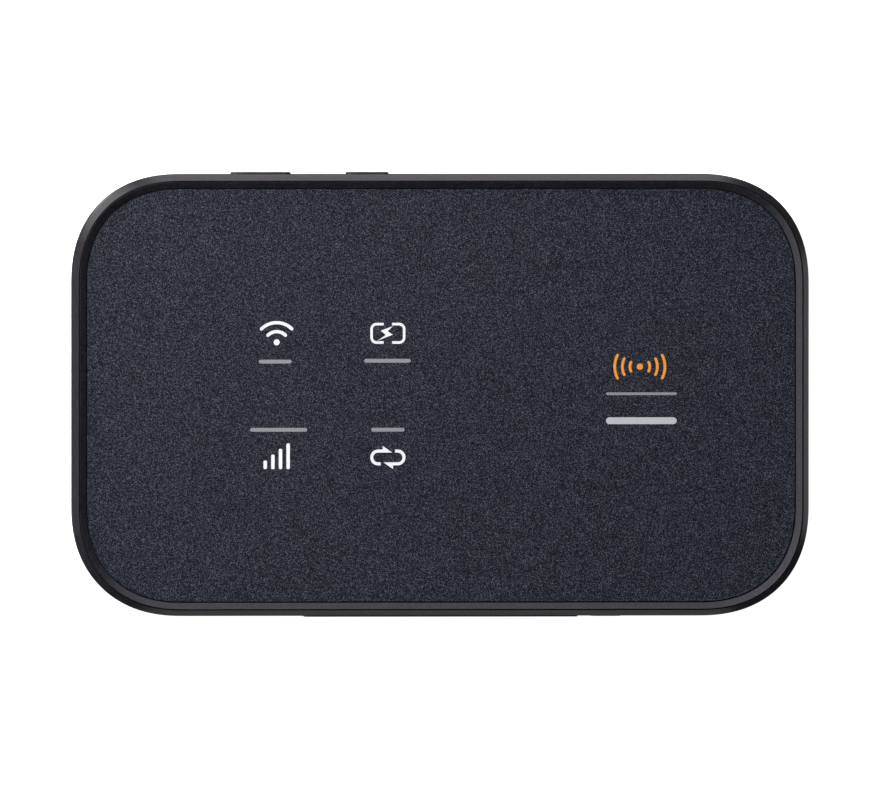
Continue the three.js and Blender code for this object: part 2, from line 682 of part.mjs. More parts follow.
for (const name of Object.keys(ICONS)) {
  addPart(`light_guide_${name}`, lightGuide(name), material(0xf0f2f4, 0.4));
  addPart(`led_${name}`, led(name), material(0xe8e4c8, 0.4));
}
addPart('light_baffle', lightBaffle(), blackPlastic());

addPart('main_board', mainBoard(), material(0x1f5a3c, 0.5));
for (const name of Object.keys(CANS)) {
  addPart(`${name}_shield`, shieldCan(CANS[name]), steel());
}
addPart('thermal_pad', thermalPad(), material(0x8a93a3, 0.9));
for (const name of Object.keys(KEYS)) {
  addPart(`${name}_switch`, pushSwitch(KEYS[name]), steel());
}
addPart('usb_shell', usbShell(), steel());
addPart('usb_tongue', usbTongue(), blackPlastic());
addPart('antenna_jack', antennaJack(), copper());
addPart('main_antenna', endAntenna(1), copper());
addPart('diversity_antenna', endAntenna(-1), copper());
addPart('wifi_antenna', wifiAntenna(), steel());

addPart('mid_frame', midFrame(), blackPlastic());
addPart('bay_label', bayLabel(), material(0xe6e6e2, 0.7));
SCREW_PLACES.forEach((place, i) => addPart(`screw_${i + 1}`, screw(place), steel()));

addPart('battery_cell', batteryCell(), material(0x3a3c40, 0.5));
addPart('battery_end_cap', batteryEndCap(), blackPlastic());
addPart('battery_connector', batteryConnector(), blackPlastic());
CONTACT_PLACES.forEach((y, i) => addPart(`contact_spring_${i + 1}`, contactSpring(y), copper()));

addPart('sim_holder', simHolder(), steel());
addPart('sim_card', simCard(), material(0xf2f2f0, 0.5));

export default hotspot;
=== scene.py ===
import json
import math

import bmesh
import bpy
from mathutils import Matrix, Vector


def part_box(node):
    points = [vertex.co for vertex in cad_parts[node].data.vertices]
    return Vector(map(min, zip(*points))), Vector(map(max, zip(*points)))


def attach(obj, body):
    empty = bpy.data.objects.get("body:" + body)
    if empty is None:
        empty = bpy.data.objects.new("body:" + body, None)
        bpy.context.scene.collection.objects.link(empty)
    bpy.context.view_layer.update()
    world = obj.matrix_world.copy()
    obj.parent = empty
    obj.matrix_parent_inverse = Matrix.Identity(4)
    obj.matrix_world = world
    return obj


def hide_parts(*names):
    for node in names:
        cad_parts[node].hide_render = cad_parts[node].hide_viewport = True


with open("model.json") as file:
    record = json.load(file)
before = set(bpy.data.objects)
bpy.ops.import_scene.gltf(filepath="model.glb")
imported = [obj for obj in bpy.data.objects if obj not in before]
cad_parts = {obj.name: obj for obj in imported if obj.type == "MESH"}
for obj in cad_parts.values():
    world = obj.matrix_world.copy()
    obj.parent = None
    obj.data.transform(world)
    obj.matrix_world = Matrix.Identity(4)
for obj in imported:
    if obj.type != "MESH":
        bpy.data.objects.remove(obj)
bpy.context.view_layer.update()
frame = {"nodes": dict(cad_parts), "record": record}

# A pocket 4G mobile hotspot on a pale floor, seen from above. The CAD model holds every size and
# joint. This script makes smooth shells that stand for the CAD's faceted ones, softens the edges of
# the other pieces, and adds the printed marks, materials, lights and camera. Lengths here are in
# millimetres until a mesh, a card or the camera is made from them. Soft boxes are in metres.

MM = 0.001
NODES = frame["nodes"]
BODY_OF = {
    node: body
    for body, members in frame["record"]["behaviour"]["bodies"].items()
    for node in members
}
SLOT_OF = {s["node"]: s["material_slot"] for s in frame["record"]["subparts"]}


def box_mm(node):
    low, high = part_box(node)
    return low / MM, high / MM


def middle_and_size(node):
    low, high = box_mm(node)
    return (low + high) / 2, high - low


# Sizes ------------------------------------------------------------------------------------------

HOUSING_LOW, HOUSING_HIGH = box_mm("front_housing")
BEZEL_LOW, BEZEL_HIGH = box_mm("bezel_ring")
PANEL_LOW, PANEL_HIGH = box_mm("front_panel")

HALF_X = HOUSING_HIGH.x
HALF_Y = HOUSING_HIGH.y
THICKNESS = BEZEL_HIGH.z

# The outline's corners: how far each one reaches along the sides, and how square it is
CORNER_REACH = 14.4
CORNER_EXPONENT = 2.27
CORNER_STEPS = 36

# Walls, and the seam between the housing and the back cover. An inset is measured inwards from the
# outline.
WALL = 1.3
SEAM_HIGH = HOUSING_LOW.z
SEAM_LOW = SEAM_HIGH - 0.1
DECK_BOTTOM = 10.5
DECK_TOP = 11.2

# The rim: its wall bends inwards, and leans in to a lip that stands against the bezel
LIP_TOP = HOUSING_HIGH.z
LIP_LAND = 0.02
RIDGE_INSET = 0.81
RIM_SLOPE = math.radians(20)
RIM_RADIUS = 3.5

# The bezel: its crest, and its slope down to the panel
BEZEL_OUTER = HALF_X - BEZEL_HIGH.x
BEZEL_RISE = 0.03
BEZEL_CREST = 0.03
BEZEL_INNER = 1.78
BEZEL_FOOT = 12.1

# The panel, the play round each icon in its window, and the guides that the icons stand on
PANEL_INSET = HALF_X - PANEL_HIGH.x
PANEL_EDGE = 0.06
ICON_PLAY = 0.04
GUIDE_CORNER = 0.6
GUIDE_HOLE_CORNER = 0.7
GUIDE_TOP = DECK_TOP + 0.05
ICONS = {
    "wifi": (-21.6, 8.15),
    "battery": (-7.0, 8.15),
    "signal": (-21.6, -8.15),
    "data": (-7.0, -8.15),
}

# The housing's screw bosses, and its openings. A play is the clearance on one side.
SCREW_COUNT = 6
BOSS_RADIUS = 1.5
BOSS_BORE = 0.75
BOSS_FOOT = SEAM_HIGH + 1.95
BOSS_ROOF = 0.4
WINDOW_DEPTH = 2.0
PLAY = 0.15
SEAT_PLAY = 0.1
USB_PLAY = 0.25
TRIM_PLAY = 0.2
SEAT_GAP = 0.05

# The back cover: its round edge, the (inset, z) levels of its inside down to its floor, its guide
# tabs, and the notch to pry it off by
BACK_EDGE_INSET = 2.4
COVER_INSIDE = ((WALL, SEAM_LOW), (WALL, 3.0), (1.9, 1.9), (3.0, 1.0))
TAB_WIDTH = 5.0
TAB_FOOT_OUTER = 1.0
TAB_FOOT_LOW = 2.2
TAB_FOOT_HIGH = SEAM_LOW - 0.15
TAB_OVERLAP = 0.15
TAB_OUTER = 1.45
TAB_INNER = 2.05
TABS_ON_LONG_SIDE = (-30, -12, 13, 30)
TABS_ON_SHORT_SIDE = (-7, 7)
PRY_WIDTH = 7.0
PRY_DEPTH = 0.7
PRY_HEIGHT = 1.1

# The keys, plug and socket. A key's flange is wider and higher than its cap by these two sizes.
KEY_NAMES = ("power", "pairing", "reset")
KEY_FLANGE = (1.2, 0.6)
KEY_FLANGE_THICKNESS = 0.7
KEY_CORNER = 0.75
FLANGE_CORNER = 0.9
TRIM_CORNER = 0.7
PLUG_DEPTH = 0.65
PLUG_CORNER = 0.8
STUB_RADIUS = 1.15
USB_WALL = 0.3
USB_CORNER = 0.7
USB_INNER_CORNER = 0.5
USB_WINDOW_CORNER = 0.6

# How far one solid runs into another before they are joined, and a cutter runs past what it cuts
BITE = 0.2
PAST = 1.0

# How far a corner turns before it counts as sharp, and what counts as one flat face
SHARP_ANGLE = math.radians(32)
FLAT_ANGLE = math.radians(0.4)
MERGE_DISTANCE = 0.002


# Outlines ---------------------------------------------------------------------------------------


def body_outline(inset):
    """The body's superellipse-cornered outline, moved inwards, counterclockwise."""
    reach = CORNER_REACH - inset
    power = 2 / CORNER_EXPONENT
    points = []
    for sx, sy in ((1, 1), (-1, 1), (-1, -1), (1, -1)):
        for step in range(CORNER_STEPS + 1):
            turn = step / CORNER_STEPS
            angle = (turn if sx * sy > 0 else 1 - turn) * math.pi / 2
            x = HALF_X - CORNER_REACH + reach * abs(math.cos(angle)) ** power
            y = HALF_Y - CORNER_REACH + reach * abs(math.sin(angle)) ** power
            points.append((sx * x, sy * y))
    return points


def arc(cx, cy, radius, start, end, steps):
    """Points along an arc, with its angles in degrees."""
    points = []
    for step in range(steps + 1):
        angle = math.radians(start + (end - start) * step / steps)
        points.append((cx + radius * math.cos(angle), cy + radius * math.sin(angle)))
    return points


def circle(cx, cy, radius, sides):
    return arc(cx, cy, radius, 0, 360, sides)[:-1]


def rounded_rectangle(cx, cy, width, height, radius, steps=10):
    x, y = width / 2 - radius, height / 2 - radius
    points = []
    for quarter, (sx, sy) in enumerate(((1, 1), (-1, 1), (-1, -1), (1, -1))):
        start = quarter * 90
        points += arc(cx + sx * x, cy + sy * y, radius, start, start + 90, steps)
    return points


def arc_stroke(cx, cy, radius, start, end, width):
    """A round-ended stroke along an arc."""
    begin_tip, end_tip = arc(cx, cy, radius, start, end, 1)
    points = arc(cx, cy, radius + width / 2, start, end, 24)
    points += arc(*end_tip, width / 2, end, end + 180, 10)[1:-1]
    points += arc(cx, cy, radius - width / 2, end, start, 24)
    points += arc(*begin_tip, width / 2, start + 180, start + 360, 10)[1:-1]
    return points


def grown(points, distance):
    """A counterclockwise polygon with its sides moved outwards, mitred at its corners."""
    vectors = [Vector(p) for p in points]
    count = len(vectors)
    normals = []
    for i, point in enumerate(vectors):
        along = (vectors[(i + 1) % count] - point).normalized()
        normals.append(Vector((along.y, -along.x)))
    moved = []
    for i, point in enumerate(vectors):
        before, after = normals[i - 1], normals[i]
        moved.append(point + (before + after) * distance / (1 + before.dot(after)))
    return [tuple(p) for p in moved]


# Meshes -----------------------------------------------------------------------------------------


def new_object(name, mesh_builder):
    """An object named name, whose mesh comes from mesh_builder, which works in millimetres."""
    shape = bmesh.new()
    mesh_builder(shape)
    bmesh.ops.recalc_face_normals(shape, faces=shape.faces)
    bmesh.ops.scale(shape, vec=(MM, MM, MM), verts=shape.verts)
    for face in shape.faces:
        face.smooth = True
    mesh = bpy.data.meshes.new(name)
    shape.to_mesh(mesh)
    shape.free()
    piece = bpy.data.objects.new(name, mesh)
    bpy.context.scene.collection.objects.link(piece)
    return piece


def add_loops(shape, loops, closed=False):
    """Skins loops of points. A closed stack joins its last loop to its first and has no caps."""
    rows = [[shape.verts.new(point) for point in loop] for loop in loops]
    pairs = list(zip(rows, rows[1:]))
    if closed:
        pairs.append((rows[-1], rows[0]))
    count = len(rows[0])
    for below, above in pairs:
        for i in range(count):
            j = (i + 1) % count
            shape.faces.new((below[i], below[j], above[j], above[i]))
    if not closed:
        shape.faces.new(rows[0][::-1])
        shape.faces.new(rows[-1])


def loft(name, levels, closed=False):
    """A solid through body outlines, each given as (inset, z)."""
    loops = [[(x, y, z) for x, y in body_outline(inset)] for inset, z in levels]
    return new_object(name, lambda shape: add_loops(shape, loops, closed))


def prism(name, outline, z0, z1):
    """An outline in plan, standing from z0 to z1."""
    loops = [[(x, y, z) for x, y in outline] for z in (z0, z1)]
    return new_object(name, lambda shape: add_loops(shape, loops))


def upright_prism(name, outline, y0, y1):
    """An outline in the XZ plane, running from y0 to y1."""
    loops = [[(x, y, z) for x, z in outline] for y in (y0, y1)]
    return new_object(name, lambda shape: add_loops(shape, loops))


def bake(piece):
    """Turns a piece's modifiers into its mesh."""
    bpy.context.view_layer.update()
    evaluated = piece.evaluated_get(bpy.context.evaluated_depsgraph_get())
    mesh = bpy.data.meshes.new_from_object(evaluated)
    piece.modifiers.clear()
    piece.data = mesh
    for polygon in mesh.polygons:
        polygon.use_smooth = True


def combine(piece, tools, operation):
    """Joins tools to a piece (UNION) or cuts them from it (DIFFERENCE), and removes them."""
    for tool in tools:
        step = piece.modifiers.new("combine", "BOOLEAN")
        step.operation = operation
        step.solver = "EXACT"
        step.object = tool
    bake(piece)
    for tool in tools:
        bpy.data.objects.remove(tool)


def clean(piece):
    """Merges doubled vertices, and the facets that share a flat face."""
    shape = bmesh.new()
    shape.from_mesh(piece.data)
    bmesh.ops.remove_doubles(shape, verts=shape.verts, dist=MERGE_DISTANCE * MM)
    bmesh.ops.dissolve_limit(shape, angle_limit=FLAT_ANGLE, verts=shape.verts, edges=shape.edges)
    shape.to_mesh(piece.data)
    shape.free()


def crisp(piece):
    """Keeps a piece's corners sharp, and shades its curves smoothly."""
    piece.data.set_sharp_from_angle(angle=SHARP_ANGLE)


def soften(piece, width, segments=2):
    """Rounds a piece's edges by width, and keeps its flats flat under smooth shading."""
    bevel = piece.modifiers.new("rounded edges", "BEVEL")
    bevel.width = width * MM
    bevel.segments = segments
    bevel.limit_method = "ANGLE"
    bevel.angle_limit = SHARP_ANGLE
    bevel.miter_outer = "MITER_ARC"
    normals = piece.modifiers.new("flat faces", "WEIGHTED_NORMAL")
    normals.keep_sharp = True


def dress(piece, node):
    """Gives a piece the material of a CAD node."""
    piece.data.materials.clear()
    piece.data.materials.append(MATERIALS[SLOT_OF[node]])


def finish_piece(piece, node):
    """The piece stands for a CAD node: it rides on that node's body and takes its slot."""
    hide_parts(node)
    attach(piece, BODY_OF[node])
    dress(piece, node)


def refined(node, width):
    """A copy of a CAD node with its flats merged and its edges rounded by width."""
    mesh = NODES[node].data.copy()
    piece = bpy.data.objects.new(f"{node}_fine", mesh)
    bpy.context.scene.collection.objects.link(piece)
    clean(piece)
    for polygon in piece.data.polygons:
        polygon.use_smooth = True
    soften(piece, width)
    finish_piece(piece, node)


# Material nodes ---------------------------------------------------------------------------------


class Nodes:
    """Short names for building one material's node tree."""

    def __init__(self, name):
        self.material = bpy.data.materials.new(name)
        self.material.use_nodes = True
        self.tree = self.material.node_tree
        self.tree.nodes.clear()
        self.output = self.tree.nodes.new("ShaderNodeOutputMaterial")
        self.shader = self.tree.nodes.new("ShaderNodeBsdfPrincipled")
        self.link(self.shader.outputs["BSDF"], self.output.inputs["Surface"])
        coordinates = self.tree.nodes.new("ShaderNodeTexCoord")
        self.position = coordinates.outputs["Object"]

    def link(self, source, target):
        self.tree.links.new(source, target)

    def set(self, **values):
        for key, value in values.items():
            self.shader.inputs[key.replace("_", " ")].default_value = value

    def stretched(self, scale):
        mapping = self.tree.nodes.new("ShaderNodeMapping")
        mapping.inputs["Scale"].default_value = scale
        self.link(self.position, mapping.inputs["Vector"])
        return mapping.outputs["Vector"]

    def noise(self, size_mm, detail=2.0, vector=None):
        """Noise from 0 to 1 whose features are about size_mm across."""
        node = self.tree.nodes.new("ShaderNodeTexNoise")
        node.inputs["Scale"].default_value = 1 / (size_mm * MM)
        node.inputs["Detail"].default_value = detail
        self.link(vector or self.position, node.inputs["Vector"])
        return node.outputs["Fac"]

    def cells(self, size_mm):
        """One random value for each cell, about size_mm across."""
        node = self.tree.nodes.new("ShaderNodeTexVoronoi")
        node.inputs["Scale"].default_value = 1 / (size_mm * MM)
        self.link(self.position, node.inputs["Vector"])
        split = self.tree.nodes.new("ShaderNodeSeparateColor")
        self.link(node.outputs["Color"], split.inputs["Color"])
        return split.outputs["Red"]

    def ramp(self, value, stops):
        """Colours along a value, as (place, colour) pairs."""
        node = self.tree.nodes.new("ShaderNodeValToRGB")
        elements = node.color_ramp.elements
        while len(elements) < len(stops):
            elements.new(0.5)
        for element, (place, colour) in zip(elements, stops):
            element.position = place
            element.color = (*colour, 1)
        self.link(value, node.inputs["Fac"])
        return node.outputs["Color"]

    def mix(self, factor, first, second, blend="MIX"):
        node = self.tree.nodes.new("ShaderNodeMix")
        node.data_type = "RGBA"
        node.blend_type = blend
        node.inputs["Factor"].default_value = factor
        self.link(first, node.inputs["A"])
        self.link(second, node.inputs["B"])
        return node.outputs["Result"]

    def spread(self, value, low, high, source_low=0.0, source_high=1.0):
        node = self.tree.nodes.new("ShaderNodeMapRange")
        node.inputs["From Min"].default_value = source_low
        node.inputs["From Max"].default_value = source_high
        node.inputs["To Min"].default_value = low
        node.inputs["To Max"].default_value = high
        self.link(value, node.inputs["Value"])
        return node.outputs["Result"]

    def bump(self, height, strength, distance_mm):
        node = self.tree.nodes.new("ShaderNodeBump")
        node.inputs["Strength"].default_value = strength
        node.inputs["Distance"].default_value = distance_mm * MM
        self.link(height, node.inputs["Height"])
        self.link(node.outputs["Normal"], self.shader.inputs["Normal"])


def srgb(*levels):
    """A linear colour from 8-bit sRGB levels."""
    shares = [level / 255 for level in levels]
    return tuple(s / 12.92 if s <= 0.04045 else ((s + 0.055) / 1.055) ** 2.4 for s in shares)


def scaled(colour, factor):
    return tuple(c * factor for c in colour)


def moulded(name, colour, roughness, grain, bump, contrast, specular):
    """Moulded plastic or rubber: a fine surface grain over slow changes of tone."""
    n = Nodes(name)
    slow = n.noise(6.0, detail=3.0)
    fine = n.noise(grain, detail=3.0)
    tone = n.ramp(slow, [(0.3, scaled(colour, 1 - contrast)), (0.7, scaled(colour, 1 + contrast))])
    speck = n.ramp(fine, [(0.35, scaled(colour, 0.85)), (0.65, scaled(colour, 1.15))])
    n.link(n.mix(0.5, tone, speck), n.shader.inputs["Base Color"])
    n.link(n.spread(fine, roughness - 0.06, roughness + 0.06, 0.3, 0.7), n.shader.inputs["Roughness"])
    n.bump(fine, bump, 0.02)
    n.set(Specular_IOR_Level=specular)
    return n.material


def satin_rim():
    """Near-black satin paint with a fine grain."""
    n = Nodes("rim_satin_paint")
    grain = n.cells(0.12)
    slow = n.noise(12.0, detail=2.0)
    dark, light = srgb(24, 23, 28), srgb(34, 33, 39)
    tone = n.ramp(slow, [(0.3, dark), (0.7, light)])
    stops = [(0.0, scaled(dark, 0.3)), (0.6, scaled(dark, 0.7)), (1.0, scaled(light, 3.2))]
    glint = n.ramp(grain, stops)
    n.link(n.mix(0.85, tone, glint), n.shader.inputs["Base Color"])
    n.link(n.spread(grain, 0.34, 0.56), n.shader.inputs["Roughness"])
    n.bump(grain, 1.0, 0.012)
    n.set(Specular_IOR_Level=0.6, Specular_Tint=(1.0, 0.96, 1.06, 1.0))
    return n.material


def speckled_panel():
    """Dark navy film with a fine light and dark speckle."""
    n = Nodes("panel_speckled_film")
    speckle = n.cells(0.075)
    slow = n.noise(14.0, detail=2.0)
    colours = n.ramp(speckle, [
        (0.0, srgb(0, 0, 2)),
        (0.5, srgb(13, 17, 25)),
        (0.8, srgb(54, 60, 74)),
        (1.0, srgb(111, 119, 134)),
    ])
    tint = n.ramp(slow, [(0.35, (0.98, 0.99, 1.02)), (0.65, (1.02, 1.01, 0.99))])
    n.link(n.mix(1.0, colours, tint, "MULTIPLY"), n.shader.inputs["Base Color"])
    n.link(n.spread(speckle, 0.52, 0.62), n.shader.inputs["Roughness"])
    n.bump(speckle, 0.1, 0.01)
    n.set(Specular_IOR_Level=0.2)
    return n.material


def icon_white():
    """Translucent white light guide, with a painted glow from its own tone."""
    n = Nodes("icon_translucent_white_painted_glow")
    grain = n.noise(0.2, detail=2.0)
    tone = n.ramp(grain, [(0.3, srgb(232, 234, 237)), (0.7, srgb(250, 251, 252))])
    n.link(tone, n.shader.inputs["Base Color"])
    # Painted glow: no lamp lights the guides from behind, but their tone also drives the emission.
    n.link(tone, n.shader.inputs["Emission Color"])
    n.link(n.spread(grain, 0.4, 0.5, 0.3, 0.7), n.shader.inputs["Roughness"])
    n.set(Emission_Strength=0.3)
    return n.material


def printed_ink(name, colour, painted_glow=0.12):
    """Screen-printed ink, slightly uneven in cover, with a painted glow from its own colour."""
    n = Nodes(name)
    grain = n.noise(0.15, detail=3.0)
    tone = n.ramp(grain, [(0.3, scaled(colour, 0.85)), (0.7, scaled(colour, 1.1))])
    n.link(tone, n.shader.inputs["Base Color"])
    # Painted glow: the ink is no lamp, but its tone also drives the emission.
    n.link(tone, n.shader.inputs["Emission Color"])
    n.link(n.spread(grain, 0.5, 0.65, 0.3, 0.7), n.shader.inputs["Roughness"])
    n.bump(grain, 0.2, 0.005)
    n.set(Emission_Strength=painted_glow)
    return n.material


def sheet_metal(name, colour, roughness, stretch=(1.0, 12.0, 1.0)):
    """Stamped or plated metal with drawn lines along one way."""
    n = Nodes(name)
    lines = n.noise(1.2, detail=4.0, vector=n.stretched(stretch))
    smudge = n.noise(5.0, detail=2.0)
    tone = n.ramp(lines, [(0.3, scaled(colour, 0.85)), (0.7, scaled(colour, 1.08))])
    n.link(tone, n.shader.inputs["Base Color"])
    n.link(n.spread(smudge, roughness - 0.07, roughness + 0.1, 0.3, 0.7), n.shader.inputs["Roughness"])
    n.bump(lines, 0.12, 0.01)
    n.set(Metallic=1.0)
    return n.material


def circuit_board():
    """Green solder mask with paler tracks."""
    n = Nodes("board_solder_mask")
    tracks = n.noise(1.6, detail=0.0, vector=n.stretched((1.0, 5.0, 1.0)))
    grain = n.noise(0.3, detail=2.0)
    mask, track = srgb(16, 70, 44), srgb(38, 112, 70)
    pattern = n.ramp(tracks, [(0.47, mask), (0.5, track), (0.53, mask)])
    shade = n.ramp(grain, [(0.3, (0.9, 0.9, 0.9)), (0.7, (1.08, 1.08, 1.08))])
    n.link(n.mix(1.0, pattern, shade, "MULTIPLY"), n.shader.inputs["Base Color"])
    n.link(n.spread(grain, 0.3, 0.42, 0.3, 0.7), n.shader.inputs["Roughness"])
    n.bump(tracks, 0.15, 0.02)
    return n.material


# What the moulded ones are made with: name, colour, roughness, grain, bump, contrast and specular
MOULDED = {
    "cover_plastic": ("cover_matte_plastic", srgb(44, 46, 51), 0.55, 0.18, 0.5, 0.12, 0.5),
    "black_plastic": ("black_moulded_plastic", srgb(30, 31, 34), 0.5, 0.12, 0.25, 0.12, 0.5),
    "tape": ("foam_tape", srgb(32, 32, 32), 0.9, 0.3, 0.8, 0.12, 0.5),
    "rubber_black": ("black_rubber", srgb(34, 34, 36), 0.8, 0.08, 0.4, 0.12, 0.3),
    "thermal_pad": ("thermal_pad_silicone", srgb(136, 144, 160), 0.85, 0.25, 0.5, 0.12, 0.5),
    "led_lens": ("led_phosphor", srgb(236, 226, 150), 0.3, 0.1, 0.1, 0.12, 0.5),
    "label_paper": ("blank_label_film", srgb(222, 222, 218), 0.6, 0.2, 0.1, 0.02, 0.5),
    "battery_wrap": ("battery_film_wrap", srgb(58, 60, 66), 0.35, 0.4, 0.15, 0.12, 0.5),
    "sim_white": ("sim_card_plastic", srgb(236, 236, 233), 0.4, 0.15, 0.05, 0.02, 0.5),
}

MATERIALS = {slot: moulded(*settings) for slot, settings in MOULDED.items()}
MATERIALS["rim_plastic"] = satin_rim()
MATERIALS["panel_speckle"] = speckled_panel()
MATERIALS["icon_white"] = icon_white()
MATERIALS["board_green"] = circuit_board()
MATERIALS["shield_steel"] = sheet_metal("tinned_shield_steel", srgb(196, 198, 200), 0.32)
MATERIALS["screw_steel"] = sheet_metal("zinc_screw_steel", srgb(150, 151, 155), 0.3, (6.0, 6.0, 1.0))
MATERIALS["copper"] = sheet_metal("gold_flashed_copper", srgb(212, 166, 92), 0.28)


# Shells -----------------------------------------------------------------------------------------


def back_edge_levels(steps):
    """(inset, z) levels of the cover's round edge, a quarter of an ellipse, from the seam down."""
    levels = []
    for step in range(steps + 1):
        angle = math.pi / 2 * step / steps
        inset = BACK_EDGE_INSET * (1 - math.cos(angle))
        levels.append((inset, SEAM_LOW * (1 - math.sin(angle))))
    return levels


def rim_levels(bend_steps):
    """(inset, z) levels of the rim: the upright wall bends inwards, then leans straight in."""
    bend_inset = RIM_RADIUS * (1 - math.cos(RIM_SLOPE))
    bend_top = LIP_TOP - (RIDGE_INSET - LIP_LAND - bend_inset) / math.tan(RIM_SLOPE)
    levels = []
    for step in range(bend_steps + 1):
        angle = RIM_SLOPE * step / bend_steps
        z = bend_top - RIM_RADIUS * (math.sin(RIM_SLOPE) - math.sin(angle))
        levels.append((RIM_RADIUS * (1 - math.cos(angle)), z))
    return levels + [(RIDGE_INSET - LIP_LAND, LIP_TOP)]


def screw_places():
    middles = [middle_and_size(f"screw_{number}")[0] for number in range(1, SCREW_COUNT + 1)]
    return [(middle.x, middle.y) for middle in middles]


def side_opening(name, node, play, radius, y0, y1, flange=(0.0, 0.0)):
    """A cutter for the opening that a piece on a long side stands in, less the piece's flange."""
    middle, size = middle_and_size(node)
    width = size.x - flange[0] + 2 * play
    height = size.z - flange[1] + 2 * play
    outline = rounded_rectangle(middle.x, middle.z, width, height, radius)
    return upright_prism(name, outline, y0, y1)


def housing_cutters():
    outside, inside = HALF_Y + PAST, HALF_Y - WINDOW_DEPTH
    trim_seat = box_mm("port_trim")[1].y + SEAT_GAP
    plug_seat = -HALF_Y + PLUG_DEPTH + SEAT_GAP
    key_radius = KEY_CORNER + PLAY
    trim_radius = TRIM_CORNER + SEAT_PLAY
    plug_radius = PLUG_CORNER + SEAT_PLAY
    cutters = [
        side_opening(f"{key}_window", f"{key}_key", PLAY, key_radius, inside, outside, KEY_FLANGE)
        for key in KEY_NAMES
    ]
    cutters += [
        side_opening("trim_seat", "port_trim", SEAT_PLAY, trim_radius, -outside, trim_seat),
        side_opening("usb_window", "usb_shell", USB_PLAY, USB_WINDOW_CORNER, -outside, -inside),
        side_opening("plug_seat", "antenna_plug", SEAT_PLAY, plug_radius, -outside, plug_seat),
    ]
    for name in ICONS:
        middle, size = middle_and_size(f"light_guide_{name}")
        width, depth = size.x + 2 * PLAY, size.y + 2 * PLAY
        outline = rounded_rectangle(middle.x, middle.y, width, depth, GUIDE_HOLE_CORNER)
        cutters.append(prism(f"{name}_hole", outline, DECK_BOTTOM - PAST, DECK_TOP + PAST))
    return cutters


def front_housing():
    levels = [(RIDGE_INSET, DECK_TOP), (RIDGE_INSET, LIP_TOP)]
    levels += reversed(rim_levels(10))
    levels += [(0.0, SEAM_HIGH), (WALL, SEAM_HIGH), (WALL, DECK_BOTTOM)]
    shell = loft("front_housing_shell", levels)
    bosses = []
    holes = []
    for number, (x, y) in enumerate(screw_places()):
        boss, bore = circle(x, y, BOSS_RADIUS, 45), circle(x, y, BOSS_BORE, 36)
        bosses.append(prism(f"boss_{number}", boss, BOSS_FOOT, DECK_BOTTOM + BITE))
        holes.append(prism(f"boss_hole_{number}", bore, SEAM_HIGH, DECK_BOTTOM - BOSS_ROOF))
    combine(shell, bosses, "UNION")
    combine(shell, holes + housing_cutters(), "DIFFERENCE")
    soften(shell, 0.01)
    finish_piece(shell, "front_housing")


def bezel_ring():
    crest = BEZEL_OUTER + BEZEL_RISE
    levels = [
        (BEZEL_OUTER, BEZEL_LOW.z),
        (BEZEL_OUTER, LIP_TOP),
        (crest, THICKNESS),
        (crest + BEZEL_CREST, THICKNESS),
        (BEZEL_INNER, BEZEL_FOOT),
        (BEZEL_INNER, BEZEL_LOW.z),
    ]
    ring = loft("bezel_ring_smooth", levels, closed=True)
    soften(ring, 0.01)
    finish_piece(ring, "bezel_ring")


def tab(name, along, half, side, on_short_side):
    """A guide tab of the cover: a foot on its wall, and a tongue that stands in the housing."""
    top = box_mm("back_cover")[1].z
    parts = (
        ("foot", TAB_FOOT_OUTER, TAB_FOOT_LOW, TAB_FOOT_HIGH),
        ("tongue", TAB_OUTER, TAB_FOOT_HIGH - TAB_OVERLAP, top),
    )
    prisms = []
    for part, near, z0, z1 in parts:
        corners = [
            (along - TAB_WIDTH / 2, half - TAB_INNER),
            (along + TAB_WIDTH / 2, half - TAB_INNER),
            (along + TAB_WIDTH / 2, half - near),
            (along - TAB_WIDTH / 2, half - near),
        ]
        if on_short_side:
            corners = [(y, -x) for x, y in corners]
        placed = [(side * x, side * y) for x, y in corners]
        prisms.append(prism(f"{name}_{part}", placed, z0, z1))
    return prisms


def cover_tabs():
    tabs = []
    for side in (1, -1):
        for along in TABS_ON_LONG_SIDE:
            tabs += tab(f"tab_{side}_{along}", along, HALF_Y, side, False)
        for along in TABS_ON_SHORT_SIDE:
            tabs += tab(f"end_tab_{side}_{along}", along, HALF_X, side, True)
    return tabs


def back_cover():
    levels = [*reversed(back_edge_levels(16)), *COVER_INSIDE]
    cover = loft("back_cover_shell", levels)
    combine(cover, cover_tabs(), "UNION")
    outline = rounded_rectangle(HALF_X, 0, 2 * PRY_DEPTH, PRY_WIDTH, 0.5)
    notch = prism("pry_notch", outline, SEAM_LOW - PRY_HEIGHT, SEAM_LOW + PAST)
    combine(cover, [notch], "DIFFERENCE")
    soften(cover, 0.06)
    finish_piece(cover, "back_cover")


# Icons, panel and light guides --------------------------------------------------------------------


def wifi_icon(grow):
    fan_y, stroke = -1.41, 0.37
    strokes = [arc_stroke(0, fan_y, radius, 45, 135, stroke + 2 * grow) for radius in (2.82, 1.64)]
    return strokes + [circle(0, fan_y + 0.24, 0.37 + grow, 24)]


